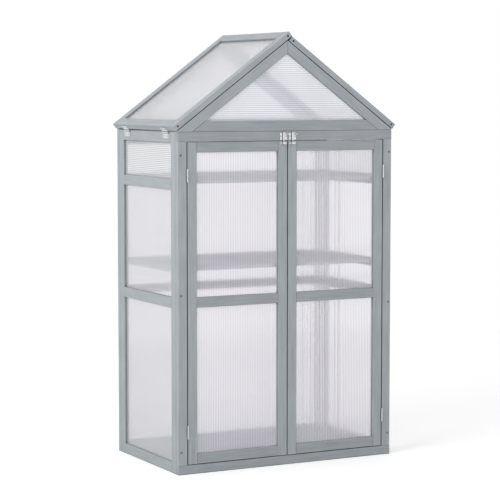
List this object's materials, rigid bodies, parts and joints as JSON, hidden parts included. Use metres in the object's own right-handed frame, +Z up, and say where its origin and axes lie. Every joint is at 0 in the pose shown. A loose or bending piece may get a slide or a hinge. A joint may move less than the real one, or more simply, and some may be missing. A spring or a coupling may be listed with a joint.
{
  "type": "cold frame greenhouse",
  "caption": "Upright grey timber cold frame greenhouse with hinged doors, hinged roof lids, slatted shelves and twin-wall polycarbonate glazing",
  "frame": {"origin": "floor level, under the middle of the object's width and depth", "axes": "+Z up, -Y towards the front with the doors, +X to the right seen from the front"},
  "size_m": [0.7982, 0.4732, 1.3803],
  "materials": {
    "painted_timber": "planed softwood under grey garden paint",
    "twin_wall_sheet": "clear fluted twin-wall polycarbonate",
    "zinc_plated_steel": "bright zinc plate"
  },
  "bodies": {
    "frame": {"sill": "painted_timber", "header": "painted_timber", "left_post": "painted_timber", "right_post": "painted_timber", "left_wall_stiles": "painted_timber", "left_wall_rails": "painted_timber", "left_wall_panes": "twin_wall_sheet", "right_wall_stiles": "painted_timber", "right_wall_rails": "painted_timber", "right_wall_panes": "twin_wall_sheet", "back_wall_stiles": "painted_timber", "back_wall_rails": "painted_timber", "back_wall_panes": "twin_wall_sheet", "front_gable_left_rafter": "painted_timber", "front_gable_right_rafter": "painted_timber", "front_gable_rail": "painted_timber", "front_gable_pane": "twin_wall_sheet", "back_gable_left_rafter": "painted_timber", "back_gable_right_rafter": "painted_timber", "back_gable_rail": "painted_timber", "back_gable_pane": "twin_wall_sheet", "lower_shelf_slats": "painted_timber", "lower_shelf_battens": "painted_timber", "middle_shelf_slats": "painted_timber", "middle_shelf_battens": "painted_timber", "upper_shelf_slats": "painted_timber", "upper_shelf_battens": "painted_timber", "shelf_cleats": "painted_timber", "door_hinge_post_leaves": "zinc_plated_steel", "door_hinge_pins": "zinc_plated_steel", "lid_hinge_wall_leaves": "zinc_plated_steel", "lid_hinge_pins": "zinc_plated_steel", "bolt_housings": "zinc_plated_steel", "frame_screws": "zinc_plated_steel"},
    "left_door": {"left_door_stiles": "painted_timber", "left_door_rails": "painted_timber", "left_door_panes": "twin_wall_sheet", "left_door_hinge_leaves": "zinc_plated_steel", "left_keeper": "zinc_plated_steel", "left_door_screws": "zinc_plated_steel"},
    "left_lid": {"left_lid_stiles": "painted_timber", "left_lid_rails": "painted_timber", "left_lid_pane": "twin_wall_sheet", "left_lid_hinge_leaves": "zinc_plated_steel", "left_lid_screws": "zinc_plated_steel"},
    "left_bolt": {"left_bolt": "zinc_plated_steel"},
    "right_door": {"right_door_stiles": "painted_timber", "right_door_rails": "painted_timber", "right_door_panes": "twin_wall_sheet", "right_door_hinge_leaves": "zinc_plated_steel", "right_keeper": "zinc_plated_steel", "right_door_screws": "zinc_plated_steel"},
    "right_lid": {"right_lid_stiles": "painted_timber", "right_lid_rails": "painted_timber", "right_lid_pane": "twin_wall_sheet", "right_lid_hinge_leaves": "zinc_plated_steel", "right_lid_screws": "zinc_plated_steel"},
    "right_bolt": {"right_bolt": "zinc_plated_steel"}
  },
  "joints": [
    {"name": "left_door_hinge", "type": "hinge", "parent": "frame", "child": "left_door", "pos_m": [-0.353, -0.23096, 0.5335], "axis": [0, 0, -1], "range_deg": [0, 175]},
    {"name": "left_lid_hinge", "type": "hinge", "parent": "frame", "child": "left_lid", "pos_m": [-0.3871, 0.00414, 1.06497], "axis": [0, -1, 0], "range_deg": [0, 140]},
    {"name": "left_bolt_slide", "type": "slide", "parent": "frame", "child": "left_bolt", "axis": [0, 0, -1], "range_m": [0, 0.012]},
    {"name": "right_door_hinge", "type": "hinge", "parent": "frame", "child": "right_door", "pos_m": [0.353, -0.23096, 0.5335], "axis": [0, 0, 1], "range_deg": [0, 175]},
    {"name": "right_lid_hinge", "type": "hinge", "parent": "frame", "child": "right_lid", "pos_m": [0.3871, 0.00414, 1.06497], "axis": [0, 1, 0], "range_deg": [0, 140]},
    {"name": "right_bolt_slide", "type": "slide", "parent": "frame", "child": "right_bolt", "axis": [0, 0, -1], "range_m": [0, 0.012]}
  ]
}
